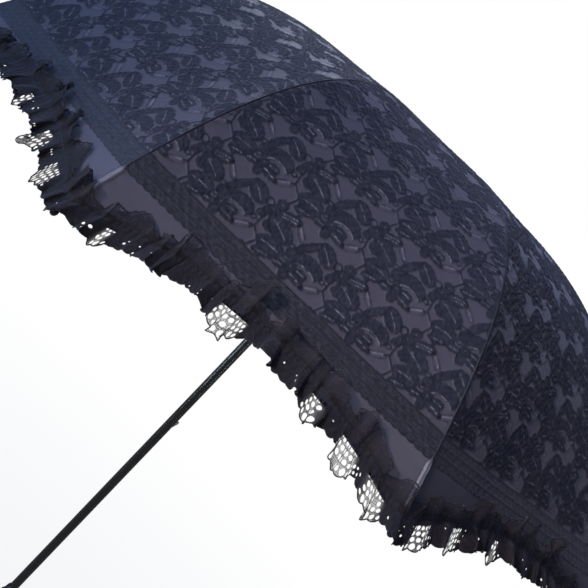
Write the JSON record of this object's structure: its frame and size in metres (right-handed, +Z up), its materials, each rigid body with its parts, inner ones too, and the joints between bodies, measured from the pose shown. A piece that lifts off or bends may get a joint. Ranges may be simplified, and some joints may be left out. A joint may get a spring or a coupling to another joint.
{
  "type": "parasol",
  "caption": "Open stick parasol: fluted shaft, sliding runner, hinged curved ribs and stretchers, domed lace-covered gores with a ruffled hem, cap and straight handle.",
  "frame": {"origin": "centre of the handle's lower end face, on the shaft axis", "axes": "+Z up the shaft towards the ferrule; -Y through the middle of one gore; ribs at 22.5 + 45 k degrees"},
  "size_m": [0.8634, 0.8724, 0.8189],
  "materials": {
    "lacquered_tube": "black enamel, glossy, fluted tube",
    "black_frame_steel": "black electro-coated steel channel, satin",
    "bright_wire": "drawn steel wire",
    "black_nylon": "moulded black nylon, fine grain",
    "gloss_black": "polished black moulding",
    "ebonised_wood": "turned wood stained nearly black, lacquered",
    "black_metal_trim": "gunmetal plated",
    "canopy_fabric": "black-navy satin twill with black raschel lace over it",
    "strap_fabric": "black twill tape"
  },
  "bodies": {
    "frame": {"shaft_tube": "lacquered_tube", "handle_grip": "ebonised_wood", "handle_end_cap": "gloss_black", "handle_collar": "black_metal_trim", "runner_stop_pin": "bright_wire", "crown_pin": "bright_wire", "crown_notch": "black_nylon", "crown_ring_wire": "bright_wire", "crown_rosette": "canopy_fabric", "ferrule": "black_metal_trim"},
    "upper_catch": {"upper_catch_spring": "bright_wire"},
    "lower_catch": {"lower_catch_spring": "bright_wire"},
    "runner": {"runner_sleeve": "black_nylon", "runner_notch": "black_nylon", "runner_ring_wire": "bright_wire", "runner_grip": "gloss_black"},
    "rib_1": {"rib_1": "black_frame_steel", "rib_tip_1": "gloss_black"},
    "stretcher_1": {"stretcher_1": "black_frame_steel"},
    "rib_2": {"rib_2": "black_frame_steel", "rib_tip_2": "gloss_black"},
    "stretcher_2": {"stretcher_2": "black_frame_steel"},
    "rib_3": {"rib_3": "black_frame_steel", "rib_tip_3": "gloss_black"},
    "stretcher_3": {"stretcher_3": "black_frame_steel"},
    "rib_4": {"rib_4": "black_frame_steel", "rib_tip_4": "gloss_black"},
    "stretcher_4": {"stretcher_4": "black_frame_steel"},
    "rib_5": {"rib_5": "black_frame_steel", "rib_tip_5": "gloss_black"},
    "stretcher_5": {"stretcher_5": "black_frame_steel"},
    "rib_6": {"rib_6": "black_frame_steel", "rib_tip_6": "gloss_black"},
    "stretcher_6": {"stretcher_6": "black_frame_steel"},
    "rib_7": {"rib_7": "black_frame_steel", "rib_tip_7": "gloss_black"},
    "stretcher_7": {"stretcher_7": "black_frame_steel"},
    "rib_8": {"rib_8": "black_frame_steel", "rib_tip_8": "gloss_black"},
    "stretcher_8": {"stretcher_8": "black_frame_steel"},
    "gore_1a": {"gore_1a": "canopy_fabric"},
    "gore_1b": {"gore_1b": "canopy_fabric"},
    "gore_2a": {"gore_2a": "canopy_fabric"},
    "gore_2b": {"gore_2b": "canopy_fabric"},
    "gore_3a": {"gore_3a": "canopy_fabric"},
    "gore_3b": {"gore_3b": "canopy_fabric"},
    "gore_4a": {"gore_4a": "canopy_fabric"},
    "gore_4b": {"gore_4b": "canopy_fabric"},
    "gore_5a": {"gore_5a": "canopy_fabric"},
    "gore_5b": {"gore_5b": "canopy_fabric"},
    "gore_6a": {"gore_6a": "canopy_fabric"},
    "gore_6b": {"gore_6b": "canopy_fabric"},
    "gore_7a": {"gore_7a": "canopy_fabric"},
    "gore_7b": {"gore_7b": "canopy_fabric"},
    "gore_8a": {"gore_8a": "canopy_fabric"},
    "gore_8b": {"gore_8b": "canopy_fabric"},
    "strap": {"closing_strap": "strap_fabric"}
  },
  "joints": [
    {"name": "runner_slide", "type": "slide", "parent": "frame", "child": "runner", "axis": [0, 0, -1], "range_m": [0, 0.25455]},
    {"name": "upper_catch_press", "type": "slide", "parent": "frame", "child": "upper_catch", "axis": [-1, 0, 0], "range_m": [0, 0.0022], "stiffness_N_per_m": 60, "springref_m": -0.002},
    {"name": "lower_catch_press", "type": "slide", "parent": "frame", "child": "lower_catch", "axis": [-1, 0, 0], "range_m": [0, 0.0022], "stiffness_N_per_m": 60, "springref_m": -0.002},
    {"name": "rib_1_hinge", "type": "hinge", "parent": "frame", "child": "rib_1", "pos_m": [0.00739, 0.00306, 0.80585], "axis": [-0.3827, 0.9239, 0], "range_deg": [0, 58.97]},
    {"name": "stretcher_1_hinge", "type": "hinge", "parent": "runner", "child": "stretcher_1", "pos_m": [0.00739, 0.00306, 0.6784], "axis": [-0.3827, 0.9239, 0], "range_deg": [-34.37, 0]},
    {"name": "rib_2_hinge", "type": "hinge", "parent": "frame", "child": "rib_2", "pos_m": [0.00306, 0.00739, 0.80585], "axis": [-0.9239, 0.3827, 0], "range_deg": [0, 58.97]},
    {"name": "stretcher_2_hinge", "type": "hinge", "parent": "runner", "child": "stretcher_2", "pos_m": [0.00306, 0.00739, 0.6784], "axis": [-0.9239, 0.3827, 0], "range_deg": [-34.37, 0]},
    {"name": "rib_3_hinge", "type": "hinge", "parent": "frame", "child": "rib_3", "pos_m": [-0.00306, 0.00739, 0.80585], "axis": [-0.9239, -0.3827, 0], "range_deg": [0, 58.97]},
    {"name": "stretcher_3_hinge", "type": "hinge", "parent": "runner", "child": "stretcher_3", "pos_m": [-0.00306, 0.00739, 0.6784], "axis": [-0.9239, -0.3827, 0], "range_deg": [-34.37, 0]},
    {"name": "rib_4_hinge", "type": "hinge", "parent": "frame", "child": "rib_4", "pos_m": [-0.00739, 0.00306, 0.80585], "axis": [-0.3827, -0.9239, 0], "range_deg": [0, 58.97]},
    {"name": "stretcher_4_hinge", "type": "hinge", "parent": "runner", "child": "stretcher_4", "pos_m": [-0.00739, 0.00306, 0.6784], "axis": [-0.3827, -0.9239, 0], "range_deg": [-34.37, 0]},
    {"name": "rib_5_hinge", "type": "hinge", "parent": "frame", "child": "rib_5", "pos_m": [-0.00739, -0.00306, 0.80585], "axis": [0.3827, -0.9239, 0], "range_deg": [0, 58.97]},
    {"name": "stretcher_5_hinge", "type": "hinge", "parent": "runner", "child": "stretcher_5", "pos_m": [-0.00739, -0.00306, 0.6784], "axis": [0.3827, -0.9239, 0], "range_deg": [-34.37, 0]},
    {"name": "rib_6_hinge", "type": "hinge", "parent": "frame", "child": "rib_6", "pos_m": [-0.00306, -0.00739, 0.80585], "axis": [0.9239, -0.3827, 0], "range_deg": [0, 58.97]},
    {"name": "stretcher_6_hinge", "type": "hinge", "parent": "runner", "child": "stretcher_6", "pos_m": [-0.00306, -0.00739, 0.6784], "axis": [0.9239, -0.3827, 0], "range_deg": [-34.37, 0]},
    {"name": "rib_7_hinge", "type": "hinge", "parent": "frame", "child": "rib_7", "pos_m": [0.00306, -0.00739, 0.80585], "axis": [0.9239, 0.3827, 0], "range_deg": [0, 58.97]},
    {"name": "stretcher_7_hinge", "type": "hinge", "parent": "runner", "child": "stretcher_7", "pos_m": [0.00306, -0.00739, 0.6784], "axis": [0.9239, 0.3827, 0], "range_deg": [-34.37, 0]},
    {"name": "rib_8_hinge", "type": "hinge", "parent": "frame", "child": "rib_8", "pos_m": [0.00739, -0.00306, 0.80585], "axis": [0.3827, 0.9239, 0], "range_deg": [0, 58.97]},
    {"name": "stretcher_8_hinge", "type": "hinge", "parent": "runner", "child": "stretcher_8", "pos_m": [0.00739, -0.00306, 0.6784], "axis": [0.3827, 0.9239, 0], "range_deg": [-34.37, 0]},
    {"name": "gore_1a_fold", "type": "hinge", "parent": "rib_8", "child": "gore_1a", "pos_m": [0.00739, -0.00306, 0.80585], "axis": [0.8078, -0.3346, -0.4853], "range_deg": [0, 76], "deforming": ["gore_1a"]},
    {"name": "gore_1b_fold", "type": "hinge", "parent": "rib_1", "child": "gore_1b", "pos_m": [0.00739, 0.00306, 0.80585], "axis": [-0.8078, -0.3346, 0.4853], "range_deg": [0, 76], "deforming": ["gore_1b"]},
    {"name": "gore_2a_fold", "type": "hinge", "parent": "rib_1", "child": "gore_2a", "pos_m": [0.00739, 0.00306, 0.80585], "axis": [0.8078, 0.3346, -0.4853], "range_deg": [0, 76], "deforming": ["gore_2a"]},
    {"name": "gore_2b_fold", "type": "hinge", "parent": "rib_2", "child": "gore_2b", "pos_m": [0.00306, 0.00739, 0.80585], "axis": [-0.3346, -0.8078, 0.4853], "range_deg": [0, 76], "deforming": ["gore_2b"]},
    {"name": "gore_3a_fold", "type": "hinge", "parent": "rib_2", "child": "gore_3a", "pos_m": [0.00306, 0.00739, 0.80585], "axis": [0.3346, 0.8078, -0.4853], "range_deg": [0, 76], "deforming": ["gore_3a"]},
    {"name": "gore_3b_fold", "type": "hinge", "parent": "rib_3", "child": "gore_3b", "pos_m": [-0.00306, 0.00739, 0.80585], "axis": [0.3346, -0.8078, 0.4853], "range_deg": [0, 76], "deforming": ["gore_3b"]},
    {"name": "gore_4a_fold", "type": "hinge", "parent": "rib_3", "child": "gore_4a", "pos_m": [-0.00306, 0.00739, 0.80585], "axis": [-0.3346, 0.8078, -0.4853], "range_deg": [0, 76], "deforming": ["gore_4a"]},
    {"name": "gore_4b_fold", "type": "hinge", "parent": "rib_4", "child": "gore_4b", "pos_m": [-0.00739, 0.00306, 0.80585], "axis": [0.8078, -0.3346, 0.4853], "range_deg": [0, 76], "deforming": ["gore_4b"]},
    {"name": "gore_5a_fold", "type": "hinge", "parent": "rib_4", "child": "gore_5a", "pos_m": [-0.00739, 0.00306, 0.80585], "axis": [-0.8078, 0.3346, -0.4853], "range_deg": [0, 76], "deforming": ["gore_5a"]},
    {"name": "gore_5b_fold", "type": "hinge", "parent": "rib_5", "child": "gore_5b", "pos_m": [-0.00739, -0.00306, 0.80585], "axis": [0.8078, 0.3346, 0.4853], "range_deg": [0, 76], "deforming": ["gore_5b"]},
    {"name": "gore_6a_fold", "type": "hinge", "parent": "rib_5", "child": "gore_6a", "pos_m": [-0.00739, -0.00306, 0.80585], "axis": [-0.8078, -0.3346, -0.4853], "range_deg": [0, 76], "deforming": ["gore_6a"]},
    {"name": "gore_6b_fold", "type": "hinge", "parent": "rib_6", "child": "gore_6b", "pos_m": [-0.00306, -0.00739, 0.80585], "axis": [0.3346, 0.8078, 0.4853], "range_deg": [0, 76], "deforming": ["gore_6b"]},
    {"name": "gore_7a_fold", "type": "hinge", "parent": "rib_6", "child": "gore_7a", "pos_m": [-0.00306, -0.00739, 0.80585], "axis": [-0.3346, -0.8078, -0.4853], "range_deg": [0, 76], "deforming": ["gore_7a"]},
    {"name": "gore_7b_fold", "type": "hinge", "parent": "rib_7", "child": "gore_7b", "pos_m": [0.00306, -0.00739, 0.80585], "axis": [-0.3346, 0.8078, 0.4853], "range_deg": [0, 76], "deforming": ["gore_7b"]},
    {"name": "gore_8a_fold", "type": "hinge", "parent": "rib_7", "child": "gore_8a", "pos_m": [0.00306, -0.00739, 0.80585], "axis": [0.3346, -0.8078, -0.4853], "range_deg": [0, 76], "deforming": ["gore_8a"]},
    {"name": "gore_8b_fold", "type": "hinge", "parent": "rib_8", "child": "gore_8b", "pos_m": [0.00739, -0.00306, 0.80585], "axis": [-0.8078, 0.3346, 0.4853], "range_deg": [0, 76], "deforming": ["gore_8b"]},
    {"name": "strap_swing", "type": "hinge", "parent": "gore_3b", "child": "strap", "pos_m": [0, 0.39428, 0.6354], "axis": [1, 0, 0], "range_deg": [0, 60]}
  ],
  "couplings": [
    {"joint": "rib_1_hinge", "follows": "runner_slide", "rad_per_m": 4.0437},
    {"joint": "stretcher_1_hinge", "follows": "runner_slide", "rad_per_m": -2.3568},
    {"joint": "rib_2_hinge", "follows": "runner_slide", "rad_per_m": 4.0437},
    {"joint": "stretcher_2_hinge", "follows": "runner_slide", "rad_per_m": -2.3568},
    {"joint": "rib_3_hinge", "follows": "runner_slide", "rad_per_m": 4.0437},
    {"joint": "stretcher_3_hinge", "follows": "runner_slide", "rad_per_m": -2.3568},
    {"joint": "rib_4_hinge", "follows": "runner_slide", "rad_per_m": 4.0437},
    {"joint": "stretcher_4_hinge", "follows": "runner_slide", "rad_per_m": -2.3568},
    {"joint": "rib_5_hinge", "follows": "runner_slide", "rad_per_m": 4.0437},
    {"joint": "stretcher_5_hinge", "follows": "runner_slide", "rad_per_m": -2.3568},
    {"joint": "rib_6_hinge", "follows": "runner_slide", "rad_per_m": 4.0437},
    {"joint": "stretcher_6_hinge", "follows": "runner_slide", "rad_per_m": -2.3568},
    {"joint": "rib_7_hinge", "follows": "runner_slide", "rad_per_m": 4.0437},
    {"joint": "stretcher_7_hinge", "follows": "runner_slide", "rad_per_m": -2.3568},
    {"joint": "rib_8_hinge", "follows": "runner_slide", "rad_per_m": 4.0437},
    {"joint": "stretcher_8_hinge", "follows": "runner_slide", "rad_per_m": -2.3568},
    {"joint": "gore_1a_fold", "follows": "runner_slide", "rad_per_m": 5.2111},
    {"joint": "gore_1b_fold", "follows": "runner_slide", "rad_per_m": 5.2111},
    {"joint": "gore_2a_fold", "follows": "runner_slide", "rad_per_m": 5.2111},
    {"joint": "gore_2b_fold", "follows": "runner_slide", "rad_per_m": 5.2111},
    {"joint": "gore_3a_fold", "follows": "runner_slide", "rad_per_m": 5.2111},
    {"joint": "gore_3b_fold", "follows": "runner_slide", "rad_per_m": 5.2111},
    {"joint": "gore_4a_fold", "follows": "runner_slide", "rad_per_m": 5.2111},
    {"joint": "gore_4b_fold", "follows": "runner_slide", "rad_per_m": 5.2111},
    {"joint": "gore_5a_fold", "follows": "runner_slide", "rad_per_m": 5.2111},
    {"joint": "gore_5b_fold", "follows": "runner_slide", "rad_per_m": 5.2111},
    {"joint": "gore_6a_fold", "follows": "runner_slide", "rad_per_m": 5.2111},
    {"joint": "gore_6b_fold", "follows": "runner_slide", "rad_per_m": 5.2111},
    {"joint": "gore_7a_fold", "follows": "runner_slide", "rad_per_m": 5.2111},
    {"joint": "gore_7b_fold", "follows": "runner_slide", "rad_per_m": 5.2111},
    {"joint": "gore_8a_fold", "follows": "runner_slide", "rad_per_m": 5.2111},
    {"joint": "gore_8b_fold", "follows": "runner_slide", "rad_per_m": 5.2111}
  ]
}
